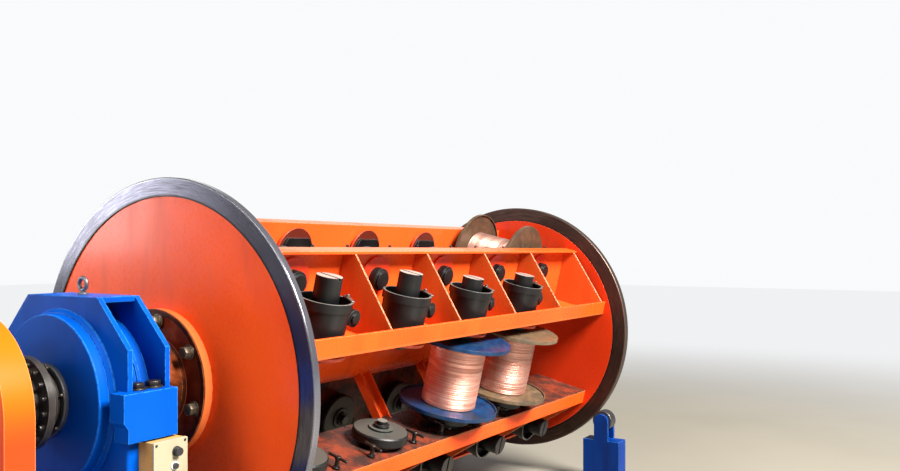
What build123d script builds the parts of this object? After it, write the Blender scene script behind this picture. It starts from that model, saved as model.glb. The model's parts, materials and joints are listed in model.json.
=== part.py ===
from build123d import *
import math
import os

# Cage stranding machine, in millimetres.
# The origin is on the floor under the middle of the front pedestal. +X runs
# along the cage's axis to its rear disc, +Z is up, and -Y is the side that
# the operator loads the bobbins from.

# Cage axis and discs
axis_height = 1200.0
disc_x = 420.0
disc_radius = 1000.0
front_rim_depth = 40.0
rear_rim_depth = 60.0
front_rim_width = 92.0
rear_rim_width = 107.0
rim_chamfer = 4.0
disc_plate = 30.0
disc_recess = 6.0
cage_length = 3555.0
seat_gap = 0.3

# Bays and pockets
row_count = 4
first_row_angle = -13.5
bay_count = 5
first_bay = 410.0
last_bay = 465.0
pocket_half = 320.0
bobbin_rad = 584.0

# Arms of the cage, folded plates with a strip along each edge
arm_rim_gap = 43.0
arm_plate = 14.0
strip_width = 101.0
strip_plate = 14.0
gusset_plate = 10.0
gusset_end_room = 40.0
gusset_lead = 36.0
gusset_closing = 9.0

# Core of the cage
tube_radius = 160.0
tube_wall = 14.0
spoke_width = 100.0
spoke_flange = 60.0
spoke_plate = 12.0
core_bore = 60.0

# Main shaft and its hub flange
shaft_radius = 160.0
shaft_neck_radius = 130.0
shaft_front = 1010.0
shaft_neck_start = 535.0
shaft_collar_radius = 200.0
shaft_collar_x = 688.0
shaft_collar_width = 30.0
shaft_collar_hub_radius = 150.0
shaft_collar_hub = 40.0
hub_flange_radius = 360.0
hub_flange_thickness = 50.0
hub_ring_width = 26.0
hub_recess = 10.0
hub_boss_radius = 215.0
hub_boss_length = 70.0
hub_boss_root = 14.0

# Drive wheel under the guard
wheel_radius = 335.0
wheel_width = 80.0
wheel_rim = 40.0
wheel_web = 24.0
wheel_hub_radius = 190.0
wheel_x = 945.0
wheel_hole_count = 6
wheel_hole_radius = 34.0

# Front pedestal, split at the height of the shaft
pedestal_depth = 208.0
pedestal_half = 460.0
pedestal_plate = 24.0
pedestal_top = 445.0
pedestal_top_half = 255.0
pedestal_shoulder = 235.0
ledge_height = 65.0
ledge_thickness = 200.0
ledge_reach = 50.0
ledge_front = 54.0
ledge_inner = 420.0
ledge_tier = 115.0
ledge_bevel = 28.0
ledge_low_front = 33.0
column_edge = 14.0
drum_radius = 360.0
drum_band = 16.0
drum_band_height = 7.0
drum_band_x = 20.0
shaft_clearance = 0.05
cheek_bore = 180.0
foot_thickness = 40.0
foot_reach = 70.0
anchor_radius = 16.0
anchor_inset = 45.0

# Bearing cover and its seal ring
cover_radius = 369.0
cover_thickness = 47.0
cover_edge = 4.0
cover_bore = 145.0
boss_radius = 388.0
boss_thickness = 20.0
boss_edge = 14.0
seal_radius = 160.0
seal_thickness = 20.0
seal_bore = 138.0
seal_edge = 4.0

# Eye bolt
eye_radius = 27.0
eye_rod = 9.0
eye_shank = 22.0
eye_collar_radius = 24.0
eye_collar = 8.0

# Drive guard and the base that carries it
guard_half = 400.0
guard_sheet = 8.0
guard_depth = 120.0
guard_back = 880.0
guard_foot = 595.0
guard_lip = 34.0
drive_base_half = 430.0
drive_base_front = 1060.0
drive_base_plinth = 60.0
drive_base_plinth_reach = 30.0

# Control box on the pedestal's side
box_width = 170.0
box_depth = 100.0
box_height = 260.0
box_top = 140.0
box_x = 30.0
box_edge = 6.0
box_lid = 12.0
box_lid_lip = 3.0
knob_radius = 17.0
knob_length = 24.0
knob_collar_radius = 21.0
knob_collar = 6.0
knob_x = 27.0
knob_drop = 52.0
button_x = 18.0
button_drop = 111.0
button_radius = 12.0
button_length = 14.0
button_sink = 3.0
button_well = 8.0
button_gap = 0.5

# Bobbins
bobbin_room = 50.0
flange_plate = 14.0
flange_edge_rod = 9.0
bobbin_width = 447.0
barrel_radius = 157.0
winding_radius = 172.0
winding_gap = 4.0
spindle_bore = 30.0
bobbin_end_gap = 5.0
filled_bays = ((0, 2), (0, 3), (1, 4))

# Bobbin chucks
chuck_radius = 160.0
chuck_foot_radius = 112.0
chuck_disc_base = 28.0
chuck_disc_top = 85.0
chuck_edge = 7.0
chuck_hub_radius = 70.0
chuck_hub_top = 97.0
chuck_seat_radius = 45.0
chuck_height = 114.0
pin_radius = 29.95
pin_length = 40.0
chuck_pin = 22.0
back_flange_radius = 125.0
back_flange = 14.0
back_radius = 64.0
back_length = 58.0
back_cap_radius = 50.0
back_cap = 14.0
nose_root_radius = 95.0
nose_root = 19.0
nose_disc_radius = 147.0
nose_disc = 16.0
nose_head_radius = 125.0
nose_head_half = 86.0
nose_head = 18.0
nose_hub_radius = 60.0
housing_foot_radius = 134.0
housing_foot = 12.0
housing_waist_radius = 122.0
housing_shoulder_radius = 129.0
housing_rim_radius = 137.0
housing_rim_height = 230.0
housing_rim = 44.0
housing_lip = 12.0
housing_dish = 40.0
quill_root_radius = 76.0
quill_root = 14.0
quill_radius = 67.0
quill_top_radius = 66.0
quill_height = 113.0
quill_travel = 48.0
quill_slot = 16.0
quill_slot_depth = 12.0
lock_radius = 45.0
lock_length = 135.0
lock_offset = 167.0
lock_height = 133.0
lock_cap_radius = 26.0
lock_cap = 12.0
missing_chuck_bays = ((0, 4),)

# Rollers under the rear disc
roller_radius = 80.0
roller_width = 90.0
roller_drop_angle = 41.4
roller_gap = 0.5
roller_bore = 25.0
roller_pin_clearance = 0.05
roller_side_gap = 5.0
roller_chamfer = 4.0
cheek_thickness = 22.0
cheek_radius = 58.0
stand_half_width = 150.0
stand_head_drop = 150.0
stand_foot = 30.0
stand_foot_reach = 50.0
stand_anchor_radius = 11.0
stand_anchor_inset = 25.0

# Rear hub
rear_hub_radius = 260.0
rear_hub_plate = 30.0
rear_nozzle_radius = 110.0
rear_nozzle_length = 90.0


def at_axis(x=0.0):
    """Place on the cage's axis, x behind the front disc's face."""
    return Pos(disc_x + x, 0, axis_height)


def row_frame(row):
    """Frame of one row: X along the axis, Y across the pocket, Z outwards."""
    return at_axis() * Rot(90.0 - first_row_angle - 90.0 * row, 0, 0)


def turned(corners):
    """Solid of revolution about +Z from its (radius, height) corners."""
    points = [(radius, 0, height) for radius, height in corners]
    return revolve(make_face(Polyline(*points, close=True)), Axis.Z)


def along_x(corners, x=0.0):
    """Turned piece on the cage's axis, with heights along +X."""
    return at_axis(x) * Rot(0, 90, 0) * turned(corners)


def along_pedestal(corners):
    """Turned piece on the same axis, with heights from the pedestal's middle."""
    return Pos(0, 0, axis_height) * Rot(0, 90, 0) * turned(corners)


def block(x0, x1, y0, y1, z0, z1):
    """Box between two corners."""
    centre = Pos((x0 + x1) / 2, (y0 + y1) / 2, (z0 + z1) / 2)
    return centre * Box(x1 - x0, y1 - y0, z1 - z0)


def plate_x(corners, x0, x1):
    """Flat plate across X from its (y, z) corners."""
    points = [(x0, y, z) for y, z in corners]
    return extrude(make_face(Polyline(*points, close=True)), amount=x1 - x0, dir=(1, 0, 0))


def plate_y(corners, y0, y1):
    """Flat plate across Y from its (x, z) corners."""
    points = [(x, y0, z) for x, z in corners]
    return extrude(make_face(Polyline(*points, close=True)), amount=y1 - y0, dir=(0, 1, 0))


def ring_x(outer, inner, x0, x1):
    """Plain ring on the cage's axis."""
    return along_x([(inner, x0), (outer, x0), (outer, x1), (inner, x1)])


def bay_x(bay):
    """Middle of a bay, from the front disc's face."""
    return first_bay + bay * bay_pitch


def bay_edges():
    """Places between the bays, and one near each disc."""
    inner = [
        bay_x(bay) - bay_pitch / 2 + gusset_lead - gusset_closing * (bay - 1)
        for bay in range(1, bay_count)
    ]
    return [front_rim_depth + gusset_end_room] + inner + [rear_face - gusset_end_room]


rear_face = front_rim_depth + cage_length
bay_pitch = (rear_face - first_bay - last_bay) / (bay_count - 1)
flange_radius = (bay_pitch - bobbin_room) / 2
arm_lip = pocket_half + strip_width
arm_corner = disc_radius - front_rim_width - arm_rim_gap
arm_reach = math.sqrt(arm_corner ** 2 - arm_lip ** 2) - strip_plate
plate_front = disc_recess
plate_back = disc_recess + disc_plate
wall_seat = -pocket_half + chuck_height + bobbin_end_gap
bobbin_mid = wall_seat + bobbin_width / 2
nose_length = pocket_half - (wall_seat + bobbin_width) - bobbin_end_gap


def make_discs():
    """Both discs: an orange plate inside a deep steel rim."""
    parts = {}

    def rim(width, depth, x):
        inner = disc_radius - width
        edge = rim_chamfer
        corners = [
            (inner, x), (disc_radius - edge, x), (disc_radius, x + edge),
            (disc_radius, x + depth - edge), (disc_radius - edge, x + depth), (inner, x + depth),
        ]
        return along_x(corners)

    parts["front_rim"] = rim(front_rim_width, front_rim_depth, 0.0)
    parts["rear_rim"] = rim(rear_rim_width, rear_rim_depth, rear_face)
    front_radius = disc_radius - front_rim_width - seat_gap
    rear_radius = disc_radius - rear_rim_width - seat_gap
    parts["front_disc"] = ring_x(front_radius, core_bore, plate_front, plate_back)
    parts["rear_disc"] = ring_x(
        rear_radius, core_bore, rear_face, rear_face + disc_plate
    )
    return parts


def make_shaft():
    """Hollow main shaft, hub flange and drive wheel."""
    parts = {}
    collar_back = -shaft_collar_x + shaft_collar_width / 2
    collar_front = -shaft_collar_x - shaft_collar_width / 2
    parts["main_shaft"] = along_x([
        (core_bore, -shaft_front), (shaft_neck_radius, -shaft_front),
        (shaft_neck_radius, collar_front), (shaft_collar_radius, collar_front),
        (shaft_collar_radius, collar_back), (shaft_collar_hub_radius, collar_back),
        (shaft_collar_hub_radius, collar_back + shaft_collar_hub),
        (shaft_neck_radius, collar_back + shaft_collar_hub),
        (shaft_neck_radius, -shaft_neck_start), (shaft_radius, -shaft_neck_start),
        (shaft_radius, plate_front), (core_bore, plate_front),
    ])
    face = plate_front - hub_flange_thickness
    inner = shaft_radius + seat_gap
    parts["hub_flange"] = along_x([
        (inner, face - hub_boss_length), (hub_boss_radius, face - hub_boss_length),
        (hub_boss_radius, face + hub_recess - hub_boss_root),
        (hub_boss_radius + hub_boss_root, face + hub_recess),
        (hub_flange_radius - hub_ring_width, face + hub_recess),
        (hub_flange_radius - hub_ring_width, face), (hub_flange_radius, face),
        (hub_flange_radius, plate_front), (inner, plate_front),
    ])
    x0 = -wheel_x - wheel_width / 2
    x1 = -wheel_x + wheel_width / 2
    web0 = -wheel_x - wheel_web / 2
    web1 = -wheel_x + wheel_web / 2
    bore = shaft_neck_radius + seat_gap
    wheel = along_x([
        (bore, x0), (wheel_hub_radius, x0), (wheel_hub_radius, web0),
        (wheel_radius - wheel_rim, web0), (wheel_radius - wheel_rim, x0), (wheel_radius, x0),
        (wheel_radius, x1), (wheel_radius - wheel_rim, x1), (wheel_radius - wheel_rim, web1),
        (wheel_hub_radius, web1), (wheel_hub_radius, x1), (bore, x1),
    ])
    hole_ring = (wheel_hub_radius + wheel_radius - wheel_rim) / 2
    for index in range(wheel_hole_count):
        turn = Rot(360.0 * index / wheel_hole_count, 0, 0)
        drill = Pos(0, 0, hole_ring) * Rot(0, 90, 0) * Cylinder(wheel_hole_radius, wheel_width)
        wheel -= at_axis(-wheel_x) * turn * drill
    parts["drive_wheel"] = wheel
    return parts


def make_core():
    """Central tube, its spokes and the rear hub."""
    parts = {}
    parts["central_tube"] = ring_x(tube_radius, tube_radius - tube_wall, plate_back, rear_face)
    hub0 = rear_face + disc_plate
    hub1 = hub0 + rear_hub_plate
    parts["rear_hub"] = along_x([
        (core_bore, hub0), (rear_hub_radius, hub0), (rear_hub_radius, hub1),
        (rear_nozzle_radius, hub1), (rear_nozzle_radius, hub1 + rear_nozzle_length),
        (core_bore, hub1 + rear_nozzle_length),
    ])
    reach = pocket_half * math.sqrt(2) + spoke_flange
    half = spoke_width / 2
    channel = block(-half, half, -spoke_flange / 2, spoke_flange / 2, 0, reach)
    room = block(-half + spoke_plate, half - spoke_plate,
                 -spoke_flange / 2 + spoke_plate, spoke_flange, 0, reach)
    core = Rot(0, 90, 0) * Cylinder(tube_radius + seat_gap, 2 * spoke_width)
    spokes = []
    for edge in bay_edges()[1:-1]:
        for row in range(row_count):
            beam = Rot(-45, 0, 0) * (channel - room)
            seat = block(-spoke_width, spoke_width, pocket_half, 2 * reach, pocket_half, 2 * reach)
            spoke = beam - core - seat
            spokes.append(row_frame(row) * Pos(edge, 0, 0) * spoke)
    parts["core_spokes"] = Compound(children=spokes)
    return parts


def make_arms():
    """Four folded arms between the discs, with gussets across each fold."""
    parts = {}
    inner = pocket_half + arm_plate
    outer = arm_reach + strip_plate
    profile = [
        (pocket_half, pocket_half), (pocket_half, outer), (arm_lip, outer),
        (arm_lip, arm_reach), (inner, arm_reach), (inner, inner), (arm_reach, inner),
        (arm_reach, arm_lip), (outer, arm_lip), (outer, pocket_half),
    ]
    gussets = []
    web = [(inner, inner), (inner, arm_reach), (arm_lip, arm_reach), (arm_reach, arm_lip),
           (arm_reach, inner)]
    for row in range(row_count):
        arm = plate_x(profile, plate_back, rear_face)
        parts[f"arm_{row + 1}"] = row_frame(row) * arm
        for edge in bay_edges():
            plate = plate_x(web, edge - gusset_plate / 2, edge + gusset_plate / 2)
            gussets.append(row_frame(row) * plate)
    parts["arm_gussets"] = Compound(children=gussets)
    return parts


def make_chucks():
    """Rows of bobbin holders: a tail housing on one wall, a chuck on the other."""
    rim_low = housing_rim_height - housing_rim
    dish = housing_rim_height - housing_dish

    def housing(travel):
        """Tail housing with its quill pushed in by the travel."""
        quill_top = housing_rim_height + quill_height - travel
        body = turned([
            (0, 0), (housing_foot_radius, 0), (housing_foot_radius, housing_foot),
            (housing_waist_radius, housing_foot), (housing_shoulder_radius, rim_low),
            (housing_rim_radius, rim_low), (housing_rim_radius, housing_rim_height),
            (housing_rim_radius - housing_lip, housing_rim_height),
            (housing_rim_radius - housing_lip, dish), (quill_root_radius, dish),
            (quill_radius, dish + quill_root), (quill_top_radius, quill_top), (0, quill_top),
        ])
        sideways = Pos(lock_offset, 0, lock_height) * Rot(90, 0, 0)
        body += sideways * Cylinder(lock_radius, lock_length)
        body += sideways * Pos(0, 0, (lock_length + lock_cap) / 2) * Cylinder(
            lock_cap_radius, lock_cap)
        slot_middle = quill_top - quill_slot_depth / 2
        return body - Pos(0, 0, slot_middle) * Box(quill_slot, 2 * quill_radius, quill_slot_depth)

    def nose(travel):
        """Nose on the pocket's side of the wall, with its pin out by the travel."""
        disc_top = nose_root + nose_disc
        pin_top = nose_length + pin_length - quill_travel + travel
        hub_top = max(nose_length - quill_travel + travel, disc_top + nose_head)
        body = turned([
            (0, 0), (nose_root_radius, 0), (nose_root_radius, nose_root),
            (nose_disc_radius, nose_root), (nose_disc_radius, disc_top),
            (nose_hub_radius, disc_top), (nose_hub_radius, hub_top), (pin_radius, hub_top),
            (pin_radius, pin_top), (0, pin_top),
        ])
        head = Cylinder(nose_head_radius, nose_head) & Box(
            2 * nose_head_radius, 2 * nose_head_half, nose_head)
        return body + Pos(0, 0, disc_top + nose_head / 2) * head

    flat = turned([
        (0, 0), (chuck_foot_radius, 0), (chuck_foot_radius, chuck_disc_base),
        (chuck_radius - chuck_edge, chuck_disc_base),
        (chuck_radius, chuck_disc_base + chuck_edge),
        (chuck_radius, chuck_disc_top - chuck_edge),
        (chuck_radius - chuck_edge, chuck_disc_top), (chuck_hub_radius, chuck_disc_top),
        (chuck_hub_radius, chuck_hub_top), (chuck_seat_radius, chuck_hub_top),
        (chuck_seat_radius, chuck_height), (pin_radius, chuck_height),
        (pin_radius, chuck_height + chuck_pin), (0, chuck_height + chuck_pin),
    ])
    back = turned([
        (0, 0), (back_flange_radius, 0), (back_flange_radius, back_flange),
        (back_radius, back_flange), (back_radius, back_length), (back_cap_radius, back_length),
        (back_cap_radius, back_length + back_cap), (0, back_length + back_cap),
    ])
    out_y = Rot(-90, 0, 0)
    in_y = Rot(90, 0, 0)
    parts = {}
    for row in range(row_count):
        pieces = []
        for bay in range(bay_count):
            if (row, bay) in missing_chuck_bays:
                continue
            here = Pos(bay_x(bay), 0, bobbin_rad)
            upper = Pos(0, pocket_half, 0)
            lower = Pos(0, -pocket_half, 0)
            travel = quill_travel if (row, bay) in filled_bays else 0.0
            pieces.append(here * upper * Pos(0, arm_plate, 0) * out_y * housing(travel))
            pieces.append(here * upper * in_y * nose(travel))
            pieces.append(here * lower * out_y * flat)
            pieces.append(here * lower * Pos(0, -arm_plate, 0) * in_y * back)
        placed = [row_frame(row) * piece for piece in pieces]
        parts[f"row_{row + 1}_chucks"] = Compound(children=placed)
    return parts


def make_bobbins():
    """Three bobbins of copper wire, each between its chuck and its nose."""
    half = bobbin_width / 2
    rod = flange_edge_rod
    spool = turned([
        (spindle_bore, -half), (flange_radius, -half),
        (flange_radius, -half + flange_plate + rod),
        (flange_radius - rod, -half + flange_plate + rod), (flange_radius - rod, -half + flange_plate),
        (barrel_radius, -half + flange_plate), (barrel_radius, half - flange_plate),
        (flange_radius - rod, half - flange_plate), (flange_radius - rod, half - flange_plate - rod),
        (flange_radius, half - flange_plate - rod), (flange_radius, half), (spindle_bore, half),
    ])
    wound = half - flange_plate - winding_gap
    winding = turned([
        (barrel_radius + seat_gap, -wound), (winding_radius, -wound),
        (winding_radius, wound), (barrel_radius + seat_gap, wound),
    ])
    parts = {}
    for index, (row, bay) in enumerate(filled_bays):
        place = row_frame(row) * Pos(bay_x(bay), bobbin_mid, bobbin_rad) * Rot(-90, 0, 0)
        parts[f"bobbin_{index + 1}_spool"] = place * spool
        parts[f"bobbin_{index + 1}_winding"] = place * winding
    return parts


def make_pedestal():
    """Split bearing pedestal at the front of the cage."""
    parts = {}

    def banded(radius, half):
        """Drum across the pedestal with its raised band."""
        return along_pedestal([
            (0, -half), (radius, -half), (radius, drum_band_x),
            (radius + drum_band_height, drum_band_x),
            (radius + drum_band_height, drum_band_x + drum_band),
            (radius, drum_band_x + drum_band), (radius, half), (0, half),
        ])

    front = -pedestal_depth / 2
    back = pedestal_depth / 2
    ledge = axis_height + ledge_height
    body = block(front, back, -pedestal_half, pedestal_half, foot_thickness, ledge)
    body = fillet(body.edges().filter_by(Axis.Z), column_edge)
    low = ledge - ledge_thickness
    edge = pedestal_half + ledge_reach
    tier = ledge - ledge_tier
    shape = [
        (front - ledge_front, ledge), (front - ledge_front, tier),
        (front - ledge_low_front, tier - ledge_bevel), (front - ledge_low_front, low),
        (back, low), (back, ledge),
    ]
    for side in (-1, 1):
        y0, y1 = sorted((side * ledge_inner, side * edge))
        body += plate_y(shape, y0, y1)
    foot_x = pedestal_depth / 2 + foot_reach
    foot_y = pedestal_half + foot_reach
    body += block(-foot_x, foot_x, -foot_y, foot_y, 0, foot_thickness)
    for x in (-foot_x + anchor_inset, foot_x - anchor_inset):
        for y in (-foot_y + anchor_inset, foot_y - anchor_inset):
            body -= Pos(x, y, foot_thickness / 2) * Cylinder(anchor_radius, foot_thickness)
    drum_half = pedestal_depth / 2 - pedestal_plate
    on_axis = Pos(0, 0, axis_height) * Rot(0, 90, 0)
    body -= banded(drum_radius + seat_gap, drum_half)
    body -= on_axis * Cylinder(cheek_bore, pedestal_depth)
    parts["pedestal_base"] = body

    top = axis_height + pedestal_top
    shoulder = axis_height + pedestal_shoulder
    outline = [
        (-pedestal_half, ledge), (-pedestal_half, shoulder), (-pedestal_top_half, top),
        (pedestal_top_half, top), (pedestal_half, shoulder), (pedestal_half, ledge),
    ]
    bore = on_axis * Cylinder(cheek_bore, 2 * pedestal_depth)
    front_plate = plate_x(outline, front, front + pedestal_plate)
    boss = turned([
        (0, 0), (boss_radius, 0), (boss_radius, boss_thickness - boss_edge),
        (boss_radius - boss_edge, boss_thickness), (0, boss_thickness),
    ])
    front_plate += Pos(front, 0, axis_height) * Rot(0, -90, 0) * boss
    parts["pedestal_front_plate"] = front_plate - bore
    parts["pedestal_rear_plate"] = plate_x(outline, back - pedestal_plate, back) - bore
    parts["pedestal_top_plate"] = block(
        -drum_half, drum_half, -pedestal_top_half, pedestal_top_half, top - pedestal_plate, top
    )
    drum = banded(drum_radius, drum_half - seat_gap)
    parts["bearing_drum"] = drum - on_axis * Cylinder(
        shaft_radius + shaft_clearance, pedestal_depth)

    face = front - boss_thickness
    cover = turned([
        (cover_bore, 0), (cover_radius, 0), (cover_radius, cover_thickness - cover_edge),
        (cover_radius - cover_edge, cover_thickness), (cover_bore, cover_thickness),
    ])
    parts["bearing_cover"] = Pos(face, 0, axis_height) * Rot(0, -90, 0) * cover
    seal = turned([
        (seal_bore, 0), (seal_radius, 0), (seal_radius, seal_thickness - seal_edge),
        (seal_radius - seal_edge, seal_thickness), (seal_bore, seal_thickness),
    ])
    parts["seal_ring"] = Pos(face - cover_thickness, 0, axis_height) * Rot(0, -90, 0) * seal

    eye = Pos(0, 0, eye_shank + eye_radius) * Rot(90, 0, 0) * Torus(eye_radius, eye_rod)
    eye += turned([(0, 0), (eye_collar_radius, 0), (eye_collar_radius, eye_collar),
                   (eye_rod, eye_collar + eye_rod), (eye_rod, eye_shank), (0, eye_shank)])
    parts["eye_bolt"] = Pos(0, 0, top) * Rot(0, 0, 90) * eye
    return parts


def make_drive():
    """Arched drive guard on the base in front of the pedestal."""
    parts = {}
    foot = axis_height - guard_foot
    base_back = -pedestal_depth / 2 - foot_reach
    base_front = disc_x - drive_base_front
    base = block(base_front, base_back, -drive_base_half, drive_base_half, drive_base_plinth, foot)
    reach = drive_base_half + drive_base_plinth_reach
    base += block(base_front, base_back, -reach, reach, 0, drive_base_plinth)
    parts["drive_base"] = base

    def arch(radius, x0, x1):
        shell = Pos((x0 + x1) / 2, 0, axis_height) * Rot(0, 90, 0) * Cylinder(radius, x1 - x0)
        return shell + block(x0, x1, -radius, radius, foot, axis_height)

    x1 = disc_x - guard_back
    x0 = x1 - guard_depth
    room = guard_half - guard_sheet
    guard = arch(guard_half, x0, x1) - arch(room, x0 + guard_sheet, x1 - guard_sheet)
    guard -= arch(guard_half - guard_lip, x0, x1)
    parts["drive_guard"] = guard
    return parts


def make_controls():
    """Control box on the pedestal, with its knob and its push button."""
    parts = {}
    back = -pedestal_half
    front = back - box_depth
    lid = front + box_lid
    top = axis_height - box_top
    x0 = box_x - box_width / 2
    x1 = box_x + box_width / 2
    box = block(x0 + box_lid_lip, x1 - box_lid_lip, lid, back, top - box_height + box_lid_lip,
                top - box_lid_lip)
    cover = block(x0, x1, front, lid, top - box_height, top)
    box += fillet(cover.edges().filter_by(Axis.Y), box_edge)
    button_at = Pos(box_x + button_x, front, top - button_drop)
    well = Pos(0, button_well / 2, 0) * Rot(90, 0, 0)
    box -= button_at * well * Cylinder(button_radius + button_gap, button_well)
    parts["control_box"] = box
    outwards = Rot(90, 0, 0)
    knob = turned([
        (0, 0), (knob_collar_radius, 0), (knob_collar_radius, knob_collar),
        (knob_radius, knob_collar), (knob_radius, knob_length), (0, knob_length),
    ])
    parts["speed_knob"] = Pos(box_x + knob_x, front - seat_gap, top - knob_drop) * outwards * knob
    button = turned([
        (0, -button_sink), (button_radius, -button_sink), (button_radius, button_length),
        (0, button_length),
    ])
    parts["push_button"] = button_at * outwards * button
    return parts


def make_rollers():
    """Two rollers under the rear disc, each on a pin between two cheeks."""
    parts = {}
    reach = disc_radius + roller_gap + roller_radius
    angle = math.radians(roller_drop_angle)
    centre_z = axis_height - reach * math.sin(angle)
    middle = disc_x + rear_face + rear_rim_depth / 2
    half = roller_width / 2
    bore = roller_bore + roller_pin_clearance
    shape = turned([
        (bore, -half), (roller_radius - roller_chamfer, -half),
        (roller_radius, -half + roller_chamfer), (roller_radius, half - roller_chamfer),
        (roller_radius - roller_chamfer, half), (bore, half),
    ])
    inside = half + roller_side_gap
    outside = inside + cheek_thickness
    head = centre_z - stand_head_drop
    for name, side in (("near", -1), ("far", 1)):
        centre_y = side * reach * math.cos(angle)
        here = Pos(middle, centre_y, centre_z) * Rot(0, 90, 0)
        parts[f"{name}_roller"] = here * shape
        stand = here * Cylinder(roller_bore, 2 * outside)
        for x0, x1 in ((-outside, -inside), (inside, outside)):
            stand += Pos(middle + (x0 + x1) / 2, centre_y, centre_z) * Rot(0, 90, 0) * Cylinder(
                cheek_radius, x1 - x0)
            stand += block(middle + x0, middle + x1, centre_y - cheek_radius,
                           centre_y + cheek_radius, head, centre_z)
        stand += block(middle - outside, middle + outside, centre_y - stand_half_width,
                       centre_y + stand_half_width, stand_foot, head)
        foot_x = outside + stand_foot_reach
        foot_y = stand_half_width + stand_foot_reach
        stand += block(middle - foot_x, middle + foot_x, centre_y - foot_y, centre_y + foot_y,
                       0, stand_foot)
        for x in (-foot_x + stand_anchor_inset, foot_x - stand_anchor_inset):
            for y in (-foot_y + stand_anchor_inset, foot_y - stand_anchor_inset):
                stand -= Pos(middle + x, centre_y + y, stand_foot / 2) * Cylinder(
                    stand_anchor_radius, stand_foot)
        parts[f"{name}_roller_stand"] = stand
    return parts


os.makedirs("parts", exist_ok=True)
for make in (make_pedestal, make_drive, make_controls, make_rollers, make_discs, make_shaft,
             make_core, make_arms, make_chucks, make_bobbins):
    for node, shape in make().items():
        export_step(shape, f"parts/{node}.step")
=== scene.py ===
"""Dresses the cage stranding machine: finishes, fasteners, copper windings, light and camera."""

from __future__ import annotations

import functools
import json
import logging
import math
import random
from collections.abc import Callable, Iterable
from dataclasses import dataclass
from enum import Enum

import bpy
from bpy.types import Material, MeshPolygon, Node, NodeSocket, NodeTree, Object
from mathutils import Matrix, Vector

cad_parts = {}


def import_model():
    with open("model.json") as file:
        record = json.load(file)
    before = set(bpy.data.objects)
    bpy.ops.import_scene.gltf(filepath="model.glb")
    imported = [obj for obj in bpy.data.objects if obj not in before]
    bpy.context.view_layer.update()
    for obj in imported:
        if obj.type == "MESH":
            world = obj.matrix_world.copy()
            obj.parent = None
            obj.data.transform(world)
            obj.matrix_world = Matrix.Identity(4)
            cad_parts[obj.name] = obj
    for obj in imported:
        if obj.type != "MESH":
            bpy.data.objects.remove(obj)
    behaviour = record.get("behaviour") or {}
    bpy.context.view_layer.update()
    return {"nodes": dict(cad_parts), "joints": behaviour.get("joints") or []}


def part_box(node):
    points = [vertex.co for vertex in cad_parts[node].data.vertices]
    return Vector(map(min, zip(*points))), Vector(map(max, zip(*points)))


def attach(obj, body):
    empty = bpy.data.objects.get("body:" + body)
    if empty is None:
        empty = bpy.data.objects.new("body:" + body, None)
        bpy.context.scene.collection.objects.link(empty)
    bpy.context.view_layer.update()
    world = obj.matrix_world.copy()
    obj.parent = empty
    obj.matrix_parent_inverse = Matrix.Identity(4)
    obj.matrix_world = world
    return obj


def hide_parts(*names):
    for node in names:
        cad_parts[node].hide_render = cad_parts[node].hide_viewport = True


LOG = logging.getLogger("cage_strander")
SEED = 41
ROWS = 4
BAYS = 5

Colour = tuple[float, float, float]
# Radius of a circle of bolts, their number, and the angle of the first in degrees.
BoltCircle = tuple[float, int, float]


def srgb(*channels: int) -> Colour:
    """The linear colour, for shaders, of a display colour with channels from 0 to 255."""
    shares = [channel / 255 for channel in channels]
    return tuple(s / 12.92 if s <= 0.04045 else ((s + 0.055) / 1.055) ** 2.4 for s in shares)


def dimmed(colour: Colour, share: float) -> Colour:
    """A colour with its channels scaled."""
    return tuple(channel * share for channel in colour)


class Signal:
    """A number that varies over a surface: one socket, with arithmetic."""

    def __init__(self, nodes: Nodes, socket: NodeSocket) -> None:
        """Wraps an output of one of the nodes."""
        self.nodes = nodes
        self.socket = socket

    def apply(self, operation: str, *values: Signal | float, clamp: bool = False) -> Signal:
        """Adds one Math node.

        Args:
            operation: The Math node's operation.
            values: Its inputs in order.
            clamp: Whether the result is kept between 0 and 1.

        Returns:
            The node's result.
        """
        settings = {"operation": operation, "use_clamp": clamp}
        made = self.nodes.node("ShaderNodeMath", settings, dict(enumerate(values)))
        return Signal(self.nodes, made.outputs[0])

    def __add__(self, other: Signal | float) -> Signal:
        """Sum."""
        return self.apply("ADD", self, other)

    __radd__ = __add__

    def __sub__(self, other: Signal | float) -> Signal:
        """Difference."""
        return self.apply("SUBTRACT", self, other)

    def __rsub__(self, other: float) -> Signal:
        """Difference, from the right."""
        return self.apply("SUBTRACT", other, self)

    def __mul__(self, other: Signal | float) -> Signal:
        """Product."""
        return self.apply("MULTIPLY", self, other)

    __rmul__ = __mul__

    def clamped(self) -> Signal:
        """The number kept between 0 and 1."""
        return self.apply("ADD", self, 0.0, clamp=True)

    def step(self, low: float, high: float) -> Signal:
        """A smooth rise from 0 at low to 1 at high; it falls where low is above high."""
        share = ((self - low) * (1 / (high - low))).clamped()
        return share * share * (3.0 - 2.0 * share)

    def root(self) -> Signal:
        """Square root."""
        return self.apply("SQRT", self)

    def angle(self, across: Signal) -> Signal:
        """Angle of the point (across, self), in radians."""
        return self.apply("ARCTAN2", self, across)


NodeValue = Signal | NodeSocket | float | tuple[float, ...]


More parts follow.
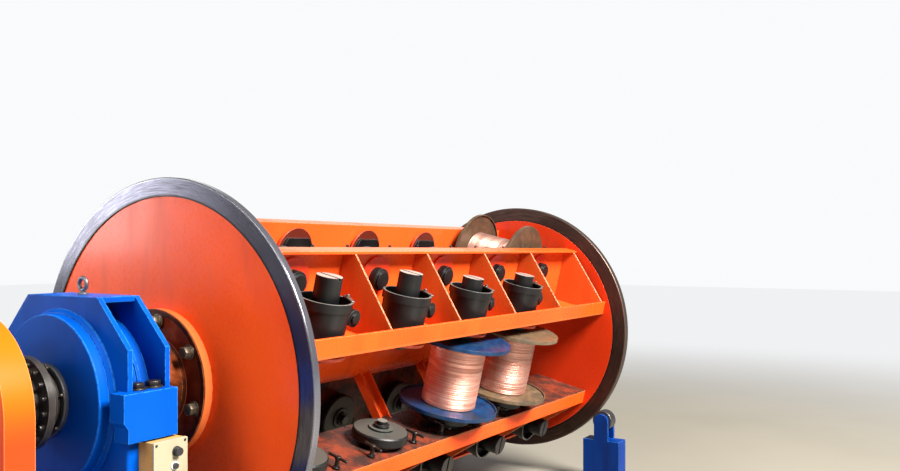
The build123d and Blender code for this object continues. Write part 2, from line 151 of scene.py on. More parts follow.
class Nodes:
    """A shader tree, with the one method that adds its nodes."""

    def __init__(self, tree: NodeTree) -> None:
        """Takes a tree and empties it."""
        self.tree = tree
        tree.nodes.clear()

    def node(
        self, kind: str, settings: dict[str, object] | None = None,
        inputs: dict[str | int, NodeValue] | None = None,
    ) -> Node:
        """Adds a node, sets it and feeds its sockets.

        Args:
            kind: The node's type.
            settings: Its own settings.
            inputs: Values or links of its sockets, by name or by number.

        Returns:
            The node.
        """
        node = self.tree.nodes.new(kind)
        for name, value in (settings or {}).items():
            setattr(node, name, value)
        for name, value in (inputs or {}).items():
            self.feed(node.inputs[name], value)
        return node

    def feed(self, socket: NodeSocket, value: NodeValue) -> None:
        """Links a socket or sets its value.

        Args:
            socket: The input.
            value: A link, a number, a direction or a colour.
        """
        if isinstance(value, Signal):
            value = value.socket
        if isinstance(value, NodeSocket):
            self.tree.links.new(value, socket)
        elif socket.type == "RGBA":
            socket.default_value = (*value, 1.0)
        else:
            socket.default_value = value


class Palette(Nodes):
    """The nodes of one material, with the few moves that every finish uses."""

    def __init__(self, name: str) -> None:
        """Starts a material with a Principled shader.

        Args:
            name: The material's name.
        """
        self.material = bpy.data.materials.new(name)
        self.material.use_nodes = True
        super().__init__(self.material.node_tree)
        self.shader = self.node("ShaderNodeBsdfPrincipled")
        self.node("ShaderNodeOutputMaterial", inputs={"Surface": self.shader.outputs[0]})
        self.place = self.node("ShaderNodeTexCoord").outputs["Object"]

    def axes(self) -> tuple[Signal, Signal, Signal]:
        """The place on the surface as three numbers, in metres."""
        split = self.node("ShaderNodeSeparateXYZ", inputs={0: self.place})
        return tuple(Signal(self, out) for out in split.outputs)

    def noise(
        self, scale: float, detail: float = 3.0, roughness: float = 0.55,
        stretch: tuple[float, float, float] = (1.0, 1.0, 1.0), where: NodeSocket | None = None,
    ) -> Signal:
        """Cloudy noise over the surface.

        Args:
            scale: Cycles to the metre.
            detail: Octaves.
            roughness: Weight of the finer octaves.
            stretch: Factor on each coordinate.
            where: Coordinates, or None for the object's own.

        Returns:
            The noise, about 0.5 on average.
        """
        source = where or self.place
        mapped = self.node("ShaderNodeMapping", inputs={"Vector": source, "Scale": stretch})
        made = self.node("ShaderNodeTexNoise", inputs={
            "Vector": mapped.outputs[0], "Scale": scale, "Detail": detail, "Roughness": roughness})
        return Signal(self, made.outputs[0])

    def vector(self, *parts: NodeValue) -> NodeSocket:
        """Joins three numbers into a vector."""
        joined = self.node("ShaderNodeCombineXYZ", inputs=dict(enumerate(parts)))
        return joined.outputs[0]

    def mix(self, factor: NodeValue, first: NodeValue, second: NodeValue) -> NodeSocket:
        """Mixes two colours by the share of the second."""
        made = self.node("ShaderNodeMix", {"data_type": "RGBA"}, {0: factor, 6: first, 7: second})
        return made.outputs[2]

    def facing(self, direction: NodeValue) -> Signal:
        """How far the flat surface looks along a direction.

        Args:
            direction: The direction, of length 1.

        Returns:
            The cosine of the angle between them.
        """
        flat = self.node("ShaderNodeNewGeometry").outputs["Normal"]
        dot = self.node("ShaderNodeVectorMath", {"operation": "DOT_PRODUCT"}, {0: direction, 1: flat})
        return Signal(self, dot.outputs["Value"])

    def edges(self, radius: float) -> tuple[NodeSocket, Signal]:
        """Normal of the edges rounded to a radius, and a mask that is 1 on them."""
        rounded = self.node("ShaderNodeBevel", {"samples": 4}, {"Radius": radius}).outputs[0]
        return rounded, (1.0 - self.facing(rounded)).step(0.01, 0.16)

    def bump(
        self, height: Signal, depth: float, strength: float, normal: NodeSocket | None = None
    ) -> NodeSocket:
        """Relief in the normal.

        Args:
            height: Height, 0 to 1.
            depth: Metres between 0 and 1.
            strength: Share of the relief.
            normal: Normal underneath, or None for the surface's own.

        Returns:
            The bumped normal.
        """
        inputs = {"Height": height, "Distance": depth, "Strength": strength}
        if normal is not None:
            inputs["Normal"] = normal
        return self.node("ShaderNodeBump", inputs=inputs).outputs[0]

    def finish(self, **inputs: NodeValue) -> Material:
        """Feeds the shader and gives the material.

        Args:
            inputs: The shader's sockets, with underscores for the blanks in their names.

        Returns:
            The material.
        """
        for name, value in inputs.items():
            self.feed(self.shader.inputs[name.replace("_", " ")], value)
        return self.material


@dataclass(frozen=True)
class Zone:
    """A slab of space in which a finish has another colour.

    The levels are counted along a direction from a point at that height over the origin.
    With faces set, only the faces that look along the direction take the colour.
    """

    along: tuple[float, float, float]
    height: float
    low: float
    high: float
    colour: Colour
    share: float = 1.0
    faces: bool = False

    def mask(self, pal: Palette) -> Signal:
        """Share of the colour over the surface.

        Args:
            pal: The finish's nodes.

        Returns:
            The share, between 0 and 1.
        """
        level = sum(
            place * part for place, part in zip(pal.axes(), self.along) if part
        ) - self.height * self.along[2]
        soft = 0.001
        inside = level.step(self.low - soft, self.low + soft)
        inside = inside * level.step(self.high + soft, self.high - soft)
        if self.faces:
            inside = inside * pal.facing(self.along).step(0.8, 0.95)
        return inside * self.share


@dataclass(frozen=True)
class Finish:
    """A procedural finish with a name of its own."""

    name: str

    def make(self) -> Material:
        """Builds the material."""
        raise NotImplementedError


@functools.cache
def material_of(finish: Finish) -> Material:
    """Builds a finish once, however many pieces wear it."""
    return finish.make()


@dataclass(frozen=True)
class Enamel(Finish):
    """Gloss machine enamel with soft mottling, grime, chipped edges, and edges lightened partly by
    wear and partly as a painted highlight.
    """

    colour: Colour
    deep: Colour
    wear_and_painted_light: Colour
    roughness: float = 0.28
    grime: float = 0.35
    edge_light: float = 0.5
    edge_radius: float = 0.004
    coat: float = 0.0
    specular: float = 0.15
    zones: tuple[Zone, ...] = ()

    def make(self) -> Material:
        """Builds the material.

        Returns:
            The material.
        """
        pal = Palette(self.name)
        normal, edge = pal.edges(self.edge_radius)
        cloud = pal.noise(1.3, 4.0)
        streak = pal.noise(5.0, 4.0, stretch=(1.0, 1.0, 0.25))
        speck = pal.noise(60.0, 3.0, 0.65)
        tone = pal.mix(cloud.step(0.38, 0.7) * 0.55, self.colour, self.deep)
        grime = (streak.step(0.5, 0.78) * self.grime).clamped()
        tone = pal.mix(grime, tone, dimmed(self.deep, 0.35))
        soil = pal.noise(11.0, 5.0, 0.62).step(0.3, 0.62) * 0.25 + 0.75
        for zone in self.zones:
            tone = pal.mix(zone.mask(pal) * soil, tone, zone.colour)
        # The edges take a pale tint of the paint: partly wear, partly a painted highlight.
        wear_and_painted_light = (edge * speck.step(0.36, 0.55) * self.edge_light).clamped()
        tone = pal.mix(wear_and_painted_light, tone, self.wear_and_painted_light)
        chip = (edge * pal.noise(38.0, 2.0).step(0.6, 0.66) * 0.5).clamped()
        tone = pal.mix(chip, tone, srgb(70, 62, 58))
        rough = self.roughness + grime * 0.35 + (speck - 0.5) * 0.12 + chip * 0.3
        return pal.finish(
            Base_Color=tone, Roughness=rough.clamped(),
            Normal=pal.bump(pal.noise(220.0, 2.0), 0.0004, 0.35, normal),
            Specular_IOR_Level=self.specular, Coat_Weight=self.coat, Coat_Roughness=0.12,
        )


@dataclass(frozen=True)
class TopLitEnamel(Finish):
    """Gloss enamel that turns lighter and yellower towards the top, as painted light from above."""

    low: Colour
    high: Colour
    span: tuple[float, float]

    def make(self) -> Material:
        """Builds the material.

        Returns:
            The material.
        """
        pal = Palette(self.name)
        normal, edge = pal.edges(0.006)
        _, _, z = pal.axes()
        cloud = pal.noise(2.2, 4.0)
        # The paint turns lighter and yellower towards the top: painted light from above.
        tone = pal.mix((z + (cloud - 0.5) * 0.06).step(*self.span), self.low, self.high)
        streak = pal.noise(9.0, 4.0, stretch=(1.0, 1.0, 0.3)).step(0.55, 0.8) * 0.18
        tone = pal.mix(streak, tone, dimmed(self.low, 0.5))
        # The edges are lightened as a painted highlight.
        tone = pal.mix((edge * 0.5).clamped(), tone, srgb(255, 196, 120))
        return pal.finish(
            Base_Color=tone, Roughness=(0.3 + (cloud - 0.5) * 0.2).clamped(),
            Normal=pal.bump(pal.noise(200.0, 2.0), 0.0004, 0.35, normal),
            Specular_IOR_Level=0.15,
        )


@dataclass(frozen=True)
class RolledRim(Finish):
    """Steel rim of a disc, turned round the cage's axis, with a dark skin, painted highlights along
    its edges and outer lip, and a painted shadow along its inner border.
    """

    colour: Colour
    dark: Colour
    bright: Colour
    axis_height: float
    inner: float
    roughness: float = 0.16
    outer: float = 1.0

    def make(self) -> Material:
        """Builds the material.

        Returns:
            The material.
        """
        pal = Palette(self.name)
        normal, edge = pal.edges(0.005)
        x, y, z = pal.axes()
        up = z - self.axis_height
        radius = (y * y + up * up).root()
        turned = pal.vector(radius * 60.0, up.angle(y) * 1.5, x * 60.0)
        line = pal.noise(6.0, 4.0, 0.6, where=turned)
        patch = pal.noise(3.2, 4.0, 0.6)
        tone = pal.mix(line.step(0.3, 0.7), self.dark, self.colour)
        tone = pal.mix(patch.step(0.5, 0.72) * 0.6, tone, self.dark)
        # A painted highlight along the outer lip and the edges, and a painted shadow along the inner
        # border.
        lip_highlight = radius.step(self.outer - 0.012, self.outer - 0.004)
        inner_shadow = radius.step(self.inner + 0.012, self.inner + 0.006)
        tone = pal.mix((lip_highlight * 0.3 + edge * 0.4).clamped(), tone, self.bright)
        tone = pal.mix(inner_shadow * 0.85, tone, srgb(22, 20, 22))
        rough = (self.roughness + 0.12 - line * 0.18 + patch * 0.10).clamped()
        return pal.finish(
            Base_Color=tone, Roughness=rough, Metallic=0.85,
            Normal=pal.bump(line, 0.0004, 0.12, normal),
        )


@dataclass(frozen=True)
class OiledIron(Finish):
    """Dark cast or turned iron with an oily sheen, and dust in its hollows.

    Its edges are lightened, partly by wear and partly as a painted highlight, in longer patches or,
    with fine_wear set, along the grain.
    """

    colour: Colour
    dust: Colour
    wear_and_painted_light: Colour
    metallic: float = 0.35
    edge_light: float = 0.5
    dustiness: float = 0.5
    roughness: float = 0.38
    specular: float = 0.5
    fine_wear: bool = False
    zones: tuple[Zone, ...] = ()

    def make(self) -> Material:
        """Builds the material.

        Returns:
            The material.
        """
        pal = Palette(self.name)
        normal, edge = pal.edges(0.004)
        cast = pal.noise(70.0, 4.0, 0.6)
        cloud = pal.noise(7.0, 3.0)
        tone = pal.mix(cloud.step(0.4, 0.75) * self.dustiness, self.colour, self.dust)
        clean = 1.0 - cloud.step(0.6, 0.8) * 0.4
        for zone in self.zones:
            tone = pal.mix(zone.mask(pal) * clean, tone, zone.colour)
        patches = cast if self.fine_wear else pal.noise(30.0, 3.0)
        # The edges are lightened: partly wear, partly a painted highlight.
        wear_and_painted_light = (edge * patches.step(0.35, 0.6) * self.edge_light).clamped()
        return pal.finish(
            Base_Color=pal.mix(wear_and_painted_light, tone, self.wear_and_painted_light), Metallic=self.metallic,
            Roughness=(self.roughness + (cloud - 0.5) * 0.3).clamped(),
            Specular_IOR_Level=self.specular, Normal=pal.bump(cast, 0.0009, 0.4, normal),
        )


@dataclass(frozen=True)
class SpoolPaint(Finish):
    """Painted bobbin flange, rubbed back to grey steel in patches and along its rim."""

    colour: Colour
    light: Colour
    bare: Colour
    wear: float = 0.5

    def make(self) -> Material:
        """Builds the material.

        Returns:
            The material.
        """
        pal = Palette(self.name)
        normal, edge = pal.edges(0.004)
        cloud = pal.noise(6.0, 5.0, 0.62)
        scratch = pal.noise(22.0, 5.0, 0.7)
        tone = pal.mix(scratch.step(0.4, 0.66) * 0.6, self.colour, self.light)
        patch = cloud.step(0.62 - 0.25 * self.wear, 0.78 - 0.2 * self.wear)
        rubbed = (patch * self.wear + edge * 0.8).clamped()
        tone = pal.mix(rubbed, tone, self.bare)
        return pal.finish(
            Base_Color=tone, Metallic=rubbed * 0.6, Specular_IOR_Level=0.3,
            Roughness=(0.34 + (scratch - 0.5) * 0.3 + rubbed * 0.12).clamped(),
            Normal=pal.bump(scratch, 0.0006, 0.4, normal),
        )


@dataclass(frozen=True)
class CopperWire(Finish):
    """Bright drawn copper in close turns, with duller and paler turns round it."""

    colour: Colour
    pale: Colour
    deep: Colour
    across: tuple[float, float]

    def make(self) -> Material:
        """Builds the material.

        Returns:
            The material.
        """
        pal = Palette(self.name)
        x, y, z = pal.axes()
        level = y * self.across[0] + z * self.across[1]
        band = pal.noise(1.0, 4.0, 0.65, where=pal.vector(level * 85.0, x * 2.5, y * 2.5))
        tone = pal.mix(band.step(0.35, 0.65), self.colour, self.pale)
        tone = pal.mix(pal.noise(6.0, 3.0).step(0.55, 0.8) * 0.35, tone, self.deep)
        return pal.finish(
            Base_Color=tone, Roughness=(0.44 + (band - 0.5) * 0.2).clamped(), Metallic=0.85,
            Normal=pal.bump(pal.noise(400.0, 2.0), 0.0003, 0.3),
        )


@dataclass(frozen=True)
class Plastic(Finish):
    """Moulded plastic with a fine grain."""

    colour: Colour

    def make(self) -> Material:
        """Builds the material.

        Returns:
            The material.
        """
        pal = Palette(self.name)
        normal, edge = pal.edges(0.001)
        grain = pal.noise(900.0, 2.0)
        lighter = tuple(min(1.0, channel * 2.2 + 0.02) for channel in self.colour)
        # The edges are lightened as a painted highlight, with paler grain in specks.
        tone = pal.mix((edge * 0.5 + grain.step(0.4, 0.8) * 0.2).clamped(), self.colour, lighter)
        return pal.finish(
            Base_Color=tone, Roughness=0.4 + (grain - 0.5) * 0.1,
            Normal=pal.bump(grain, 0.0001, 0.5, normal),
        )


ORANGE = (srgb(232, 80, 22), srgb(210, 60, 16), srgb(250, 176, 130))
ORANGE_ENAMEL = Enamel("orange_enamel", *ORANGE)
# The light blue edge colour is partly a painted highlight along the plates' edges.
BLUE_ENAMEL = Enamel(
    "blue_enamel", srgb(0, 67, 158), srgb(0, 50, 128), srgb(60, 160, 240),
    roughness=0.36, edge_light=0.8, edge_radius=0.006, specular=0.06,
)
SHAFT_STEEL = OiledIron("shaft_steel", srgb(46, 42, 40), srgb(74, 66, 58), srgb(150, 148, 142))
BOLT_STEEL = OiledIron(
    "bolt_steel", srgb(32, 29, 27), srgb(48, 41, 35), srgb(112, 104, 96), metallic=0.5
)
WORN_BOLT_STEEL = OiledIron(
    "worn_bolt_steel", srgb(98, 86, 70), srgb(70, 56, 44), srgb(170, 156, 136), metallic=0.6
)


# Modelling moves that the pieces share, all made with operators.
def clear() -> None:
    """Leaves edit mode and deselects everything."""
    if bpy.context.mode != "OBJECT":
        bpy.ops.object.mode_set(mode="OBJECT")
    bpy.ops.object.select_all(action="DESELECT")


def take(piece: Object) -> None:
    """Makes one piece the only selected and active one."""
    clear()
    piece.select_set(True)
    bpy.context.view_layer.objects.active = piece


def settle() -> Object:
    """Moves the new primitive's place into its mesh."""
    bpy.ops.object.transform_apply(location=True, rotation=True, scale=True)
    return bpy.context.active_object


def drum(sides: int, radius: float, depth: float, base: float = 0.0) -> Object:
    """Adds a cylinder that stands on Z = base.

    Args:
        sides: Corners round it.
        radius: Radius over the corners.
        depth: Height.
        base: Height of its lower face.

    Returns:
        The cylinder.
    """
    clear()
    bpy.ops.mesh.primitive_cylinder_add(
        vertices=sides, radius=radius, depth=depth, location=(0, 0, base + depth / 2)
    )
    return settle()


def pick(piece: Object, test: Callable[[MeshPolygon], bool]) -> None:
    """Enters edit mode with the faces that pass a test selected.

    Args:
        piece: The mesh.
        test: Says whether a face is wanted.
    """
    take(piece)
    bpy.ops.object.mode_set(mode="EDIT")
    bpy.ops.mesh.select_mode(type="FACE")
    bpy.ops.mesh.select_all(action="DESELECT")
    bpy.ops.object.mode_set(mode="OBJECT")
    for face in piece.data.polygons:
        face.select = test(face)
    bpy.ops.object.mode_set(mode="EDIT")


def point_outwards() -> None:
    """Turns every face of the piece in edit mode outwards."""
    bpy.ops.mesh.select_all(action="SELECT")
    bpy.ops.mesh.normals_make_consistent(inside=False)


def turn_up(profile: list[tuple[float, float]], sides: int) -> Object:
    """Turns a closed solid of revolution, ring by ring.

    Args:
        profile: (radius, height) of each ring, lowest first.
        sides: Corners round it.

    Returns:
        The solid.
    """
    clear()
    radius, height = profile[0]
    bpy.ops.mesh.primitive_circle_add(
        vertices=sides, radius=radius, location=(0, 0, height), fill_type="NGON"
    )
    piece = settle()
    bpy.ops.object.mode_set(mode="EDIT")
    bpy.ops.mesh.select_all(action="SELECT")
    for next_radius, next_height in profile[1:]:
        rise = (0, 0, next_height - height)
        bpy.ops.mesh.extrude_region_move(TRANSFORM_OT_translate={"value": rise})
        share = next_radius / radius
        bpy.ops.transform.resize(value=(share, share, 1), center_override=(0, 0, next_height))
        radius, height = next_radius, next_height
    point_outwards()
    bpy.ops.object.mode_set(mode="OBJECT")
    return piece


def bevel(piece: Object, width: float, segments: int = 2) -> None:
    """Rounds a piece's sharp edges with an applied modifier.

    Args:
        piece: The mesh.
        width: Width of the rounding.
        segments: Steps across it.
    """
    take(piece)
    modifier = piece.modifiers.new("round", "BEVEL")
    modifier.width = width
    modifier.segments = segments
    modifier.limit_method = "ANGLE"
    modifier.angle_limit = math.radians(35)
    bpy.ops.object.modifier_apply(modifier=modifier.name)


def smooth(piece: Object, degrees: float = 35.0) -> Object:
    """Shades a piece smooth except over its sharp edges.

    Args:
        piece: The mesh.
        degrees: Angle from which an edge stays sharp.

    Returns:
        The same piece.
    """
    take(piece)
    bpy.ops.object.shade_smooth_by_angle(angle=math.radians(degrees))
    return piece


def join(pieces: list[Object]) -> Object:
    """Joins pieces into the first one.

    Args:
        pieces: The pieces.

    Returns:
        The first one, with all their meshes.
    """
    take(pieces[0])
    for piece in pieces[1:]:
        piece.select_set(True)
    if len(pieces) > 1:
        bpy.ops.object.join()
    return pieces[0]


def give(piece: Object, material: Material) -> None:
    """Gives a piece one material."""
    piece.data.materials.clear()
    piece.data.materials.append(material)


@dataclass(frozen=True)
class Machine:
    """Places on the machine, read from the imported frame."""

    nodes: dict[str, Object]
    joints: dict[str, dict]
    first_row_angle: float = -13.5
    pocket_half: float = 0.320
    arm_plate: float = 0.014
    bobbin_rad: float = 0.584
    rim_height: float = 0.230
    missing_chucks: tuple[tuple[int, int], ...] = ((0, 4),)

    @property
    def axis_height(self) -> float:
        """Height of the cage's axis."""
        return self.joints["cage_spin"]["pos_m"][2]

    @property
    def arm_back(self) -> float:
        """Level of the arm walls' far side, across a pocket."""
        return self.pocket_half + self.arm_plate

    def bay_x(self, bay: int) -> float:
        """Middle of a bay along the axis, counted from 0."""
        third, fourth = (self.joints[f"bobbin_{number}_spin"]["pos_m"][0] for number in (1, 2))
        return third + (bay - 2) * (fourth - third)

    def row_angle(self, row: int) -> float:
        """Angle of a row's middle, from -Y towards +Z, in radians."""
        return math.radians(self.first_row_angle + 90.0 * row)

    def zone(self, row: int, low: float, high: float, colour: Colour, faces: bool = False) -> Zone:
        """A slab across one row's pocket, between two levels counted from the cage's axis."""
        across = (0.0, math.sin(self.row_angle(row)), math.cos(self.row_angle(row)))
        return Zone(across, self.axis_height, low, high, colour, faces=faces)

    def on_chucks(
        self, level: float, spots: Iterable[tuple[float, float, float]], swing: float,
        draw: random.Random,
    ) -> list[Matrix]:
        """Places round each bobbin's axis, with Z across the pocket.

        Args:
            level: Their place across the pocket.
            spots: Place along the cage, place towards its axis and turn in degrees, of each.
            swing: Most that one turns off its spot, in degrees.
            draw: Source of that turn.

        Returns:
            One frame for each spot of each chuck.
        """
        axis = Matrix.Translation((0, 0, self.axis_height))
        upright = Matrix.Rotation(math.radians(-90.0), 4, "X")
        every = [(row, bay) for row in range(ROWS) for bay in range(BAYS)]
        places = []
        for row, bay in [place for place in every if place not in self.missing_chucks]:
            turn = Matrix.Rotation(math.radians(90.0) - self.row_angle(row), 4, "X")
            here = Matrix.Translation((self.bay_x(bay), level, self.bobbin_rad))
            for x, y, degrees in spots:
                swung = math.radians(degrees + draw.uniform(-swing, swing))
                there = Matrix.Translation((x, y, 0)) @ Matrix.Rotation(swung, 4, "Z")
                places.append(axis @ turn @ here @ upright @ there)
        return places

    def front_circle(self, x: float, radius: float, count: int, first: float) -> list[Matrix]:
        """Places on a circle round the cage's axis, with Z towards the front.

        Args:
            x: The circle's place along the axis.
            radius: Its radius.
            count: Places on it.
            first: Angle of the first, in degrees.

        Returns:
            One frame for each place.
        """
        here = Matrix.Translation((x, 0, self.axis_height))
        base = here @ Matrix.Rotation(math.radians(-90.0), 4, "Y")
        out = Matrix.Translation((radius, 0, 0))
        turns = [math.radians(first + 360.0 * index / count) for index in range(count)]
        return [base @ Matrix.Rotation(turn, 4, "Z") @ out for turn in turns]


def foot_corners(node: str, inset: float, height: float) -> list[Matrix]:
    """Places in the four corners of a node's foot, that far in from its sides."""
    low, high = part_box(node)
    return [
        Matrix.Translation((x, y, height))
        for x in (low.x + inset, high.x - inset) for y in (low.y + inset, high.y - inset)
    ]


@dataclass(frozen=True)
class HexBolt:
    """A hexagon bolt on its washer, with a stud over the nut of an anchor."""

    across: float
    height: float
    washer_radius: float
    washer: float = 0.006
    stud: float = 0.0
    chamfer: float = 0.003

    def pattern(self) -> Object:
        """Models one bolt.

        Returns:
            The bolt, standing on Z = 0.
        """
        corner = self.across / math.sqrt(3)
        head = drum(6, corner, self.height, self.washer)
        pick(head, lambda face: face.normal.z > 0.9)
        bpy.ops.mesh.inset(thickness=self.chamfer * 1.6)
        bpy.ops.transform.translate(value=(0, 0, self.chamfer * 0.6))
        if self.stud:
            bpy.ops.mesh.inset(thickness=corner * 0.36)
            bpy.ops.mesh.extrude_region_move(TRANSFORM_OT_translate={"value": (0, 0, self.stud)})
        bevel(head, self.chamfer / 3, 1)
        ring = drum(20, self.washer_radius, self.washer)
        bevel(ring, self.washer / 4, 1)
        return smooth(join([head, ring]))


@dataclass
class Assembly:
    """One group of the machine's parts: it paints them and adds the pieces that they lack."""

    machine: Machine
    draw: random.Random

    def dress(self) -> None:
        """Paints the group's own nodes."""
        raise NotImplementedError

    def build(self) -> None:
        """Adds the group's pieces, where it has any."""

    def paint(self, finish: Finish, *names: str) -> None:
        """Gives CAD nodes, by name, one finish."""
        for name in names:
            give(self.machine.nodes[name], material_of(finish))

    def add(
        self, name: str, pattern: Object, places: list[Matrix], finish: Finish,
        body: str, slot: str = "shaft_steel",
    ) -> Object:
        """Copies a finished pattern to its places and ties the copies, as one piece, to a body.

        Args:
            name: The piece's name.
            pattern: The pattern, modelled round its own origin. It is used up.
            places: Where each copy goes.
            finish: The piece's finish.
            body: The body that it rides on.
            slot: Not used.

        Returns:
            The piece, with its place in its mesh.
        """
        copies = []
        for place in places:
            copy = pattern.copy()
            copy.data = pattern.data.copy()
            copy.data.transform(place)
            bpy.context.scene.collection.objects.link(copy)
            copies.append(copy)
        bpy.data.objects.remove(pattern)
        piece = join(copies)
        piece.name = piece.data.name = name
        give(piece, material_of(finish))
        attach(piece, body)
        LOG.info("added %s: %d", name, len(places))
        return piece


@dataclass
class Discs(Assembly):
    """Both discs with their steel rims, and the front disc's bolted hub."""

    rim_seats: tuple[float, float] = (0.908, 0.893)
    boss: float = 0.0412
    flange: float = 0.046
    bolt: HexBolt = HexBolt(across=0.052, height=0.034, washer_radius=0.036)
    circle: BoltCircle = (0.303, 7, -108.2)

    def dress(self) -> None:
        """Paints the discs, the rims and the hub, darkened in front by painted shade and grease."""
        self.paint(Enamel("disc_enamel", *ORANGE, coat=0.1), "front_disc")
        # The rear disc's enamel is a darker, redder copy of the orange: painted shade.
        self.paint(Enamel(
            "inner_enamel", srgb(184, 46, 14), srgb(164, 34, 10), srgb(250, 160, 120)
        ), "rear_disc")
        forward = (-1.0, 0.0, 0.0)
        boss = self.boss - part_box("hub_flange")[1].x
        # The forward-looking faces and the boss of the hub are darkened: painted shade, with some
        # grease.
        self.paint(Enamel(
            "hub_enamel", srgb(232, 118, 61), srgb(220, 98, 44), srgb(255, 196, 150), zones=(
                Zone(forward, 0.0, -1.0, 1.0, srgb(104, 20, 7), 0.95, True),
                Zone(forward, 0.0, boss, 1.0, srgb(36, 8, 3), 0.95)),
        ), "hub_flange")
        high = self.machine.axis_height
        self.paint(RolledRim(
            "front_rim_steel", srgb(92, 92, 104), srgb(58, 54, 62), srgb(190, 190, 198), high,
            self.rim_seats[0]), "front_rim")
        # The rear rim's colours are browner and darker than the front rim's, partly as painted shade.
        self.paint(RolledRim(
            "rear_rim_steel", srgb(76, 56, 48), srgb(40, 28, 24), srgb(120, 108, 100), high,
            self.rim_seats[1], 0.38), "rear_rim")

    def build(self) -> None:
        """Sets the hub's bolts on its flange."""
        places = self.machine.front_circle(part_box("hub_flange")[1].x - self.flange, *self.circle)
        self.add("hub_bolts", self.bolt.pattern(), places, WORN_BOLT_STEEL, "cage")


@dataclass
class Arms(Assembly):
    """The folded arms with their gussets, on the tube and its spokes."""

    def dress(self) -> None:
        """Paints the arms, dull where they carry chucks, and dusty and darkened as painted shade on
        one wall.
        """
        self.paint(ORANGE_ENAMEL, "central_tube", "core_spokes", "rear_hub")
        # The gussets' edges are lightened strongly: a painted highlight along them.
        self.paint(Enamel(
            "rib_enamel", srgb(190, 80, 30), srgb(174, 62, 24), srgb(255, 196, 160),
            edge_light=1.6, edge_radius=0.008,
        ), "arm_gussets")
        machine = self.machine
        wall, back = machine.pocket_half, machine.arm_back
        dull = srgb(176, 82, 34)
        for arm in range(ROWS):
            after = (arm + 1) % ROWS
            self.paint(Enamel(f"arm_{arm + 1}_enamel", *ORANGE, zones=(
                machine.zone(arm, wall, back, dull),
                machine.zone(after, -back, -wall, dull),
                # The wall's face that carries the chucks is darkened: partly dust, partly painted
                # shade.
                machine.zone(after, -wall - 0.001, 0.001 - wall, srgb(54, 38, 34), True),
            )), f"arm_{arm + 1}")


@dataclass
class Pedestal(Assembly):
    """The split bearing pedestal with its seal and lifting eye."""

    ledge_places: tuple[float, float] = (0.040, 0.430)
    foot_inset: float = 0.045
    foot_height: float = 0.040
    split: HexBolt = HexBolt(across=0.058, height=0.021, washer=0.007, washer_radius=0.042)
    seal: HexBolt = HexBolt(
        across=0.011, height=0.006, washer=0.0015, washer_radius=0.007, chamfer=0.001
    )
    seal_circle: BoltCircle = (0.149, 6, 44.5)
    anchor: HexBolt = HexBolt(across=0.046, height=0.030, washer_radius=0.030, stud=0.018)

    def dress(self) -> None:
        """Paints the pedestal."""
        self.paint(
            BLUE_ENAMEL, "pedestal_base", "pedestal_front_plate", "pedestal_rear_plate",
            "pedestal_top_plate", "bearing_drum", "bearing_cover",
        )
        self.paint(OiledIron(
            "seal_steel", srgb(58, 58, 62), srgb(30, 28, 28), srgb(150, 150, 152)), "seal_ring")
        self.paint(OiledIron(
            "zinc_steel", srgb(108, 107, 112), srgb(74, 68, 64), srgb(190, 190, 194),
            metallic=0.75, edge_light=0.3), "eye_bolt")

    def build(self) -> None:
        """Sets the bolts of the split, the seal and the foot."""
        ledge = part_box("pedestal_base")[1].z
        x_out, y_out = self.ledge_places
        places = [
            Matrix.Translation((x, y, ledge)) @ Matrix.Rotation(self.draw.uniform(0, 1), 4, "Z")
            for x in (-x_out, x_out) for y in (-y_out, y_out)
        ]
        self.add("split_bolts", self.split.pattern(), places, BOLT_STEEL, "frame")
        places = self.machine.front_circle(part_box("seal_ring")[0].x, *self.seal_circle)
        self.add("seal_bolts", self.seal.pattern(), places, WORN_BOLT_STEEL, "frame")
        places = foot_corners("pedestal_base", self.foot_inset, self.foot_height)
        self.add("pedestal_anchors", self.anchor.pattern(), places, BOLT_STEEL, "frame")


@dataclass
class Drive(Assembly):
    """The main shaft with its collar, and the wheel under its guard."""

    collar_reach: float = 0.703
    bolt: HexBolt = HexBolt(across=0.020, height=0.013, washer=0.003, washer_radius=0.013)
    circle: BoltCircle = (0.175, 18, 2.2)

    def dress(self) -> None:
        """Paints the drive end."""
        self.paint(TopLitEnamel(
            "guard_enamel", srgb(196, 54, 13), srgb(220, 86, 10), (1.10, 1.36)), "drive_guard")
        self.paint(BLUE_ENAMEL, "drive_base")
        self.paint(SHAFT_STEEL, "main_shaft", "drive_wheel")

    def build(self) -> None:
        """Sets the collar's bolts."""
        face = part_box("front_rim")[0].x - self.collar_reach
        places = self.machine.front_circle(face, *self.circle)
        self.add("collar_bolts", self.bolt.pattern(), places, BOLT_STEEL, "cage")


